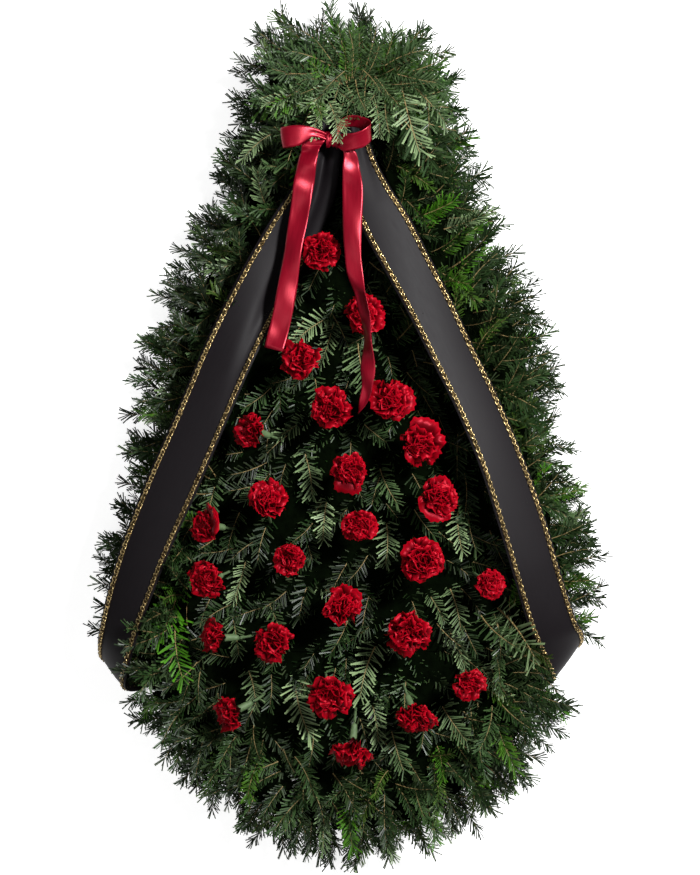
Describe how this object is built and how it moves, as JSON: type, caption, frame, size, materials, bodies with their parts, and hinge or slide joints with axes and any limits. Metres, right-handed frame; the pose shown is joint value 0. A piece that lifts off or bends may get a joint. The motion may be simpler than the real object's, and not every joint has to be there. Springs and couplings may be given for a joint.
{
  "type": "funeral arrangement",
  "caption": "Teardrop funeral wreath of fir sprays and red carnations on a straw base, with two black sash tails and a red satin bow",
  "frame": {"origin": "on the flat back of the straw base, below the middle of the wreath", "axes": "+Z out of the wreath's face, +Y to its narrow top, +X to its right seen from the front"},
  "size_m": [0.8663, 1.4645, 0.2105],
  "materials": {
    "straw": "rough bound straw",
    "dark_fir": "waxy dark green needles on brown twigs",
    "pale_fir": "grey green needles on tan twigs",
    "petals": "soft matt petals",
    "sash": "black satin with gilt braid edges",
    "red_satin": "glossy red satin"
  },
  "bodies": {
    "root": {"straw_base": "straw", "fir_roll_01": "dark_fir", "fir_roll_02": "dark_fir", "fir_roll_03": "dark_fir", "fir_roll_04": "dark_fir", "fir_roll_05": "dark_fir", "fir_roll_06": "dark_fir", "fir_roll_07": "dark_fir", "fir_roll_08": "dark_fir", "fir_roll_09": "dark_fir", "fir_roll_10": "dark_fir", "fir_roll_11": "dark_fir", "fir_roll_12": "dark_fir", "fir_roll_13": "dark_fir", "fir_roll_14": "dark_fir", "fir_roll_15": "dark_fir", "fir_roll_16": "dark_fir", "fir_crown": "pale_fir", "fir_bed_01": "pale_fir", "fir_bed_02": "pale_fir", "fir_bed_03": "pale_fir", "fir_bed_04": "pale_fir", "fir_bed_05": "pale_fir", "fir_bed_06": "pale_fir", "carnation_01": "petals", "carnation_02": "petals", "carnation_03": "petals", "carnation_04": "petals", "carnation_05": "petals", "carnation_06": "petals", "carnation_07": "petals", "carnation_08": "petals", "carnation_09": "petals", "carnation_10": "petals", "carnation_11": "petals", "carnation_12": "petals", "carnation_13": "petals", "carnation_14": "petals", "carnation_15": "petals", "carnation_16": "petals", "carnation_17": "petals", "carnation_18": "petals", "carnation_19": "petals", "carnation_20": "petals", "carnation_21": "petals", "carnation_22": "petals", "carnation_23": "petals", "carnation_24": "petals", "carnation_25": "petals", "sash_left": "sash", "sash_right": "sash", "bow": "red_satin"}
  },
  "joints": []
}
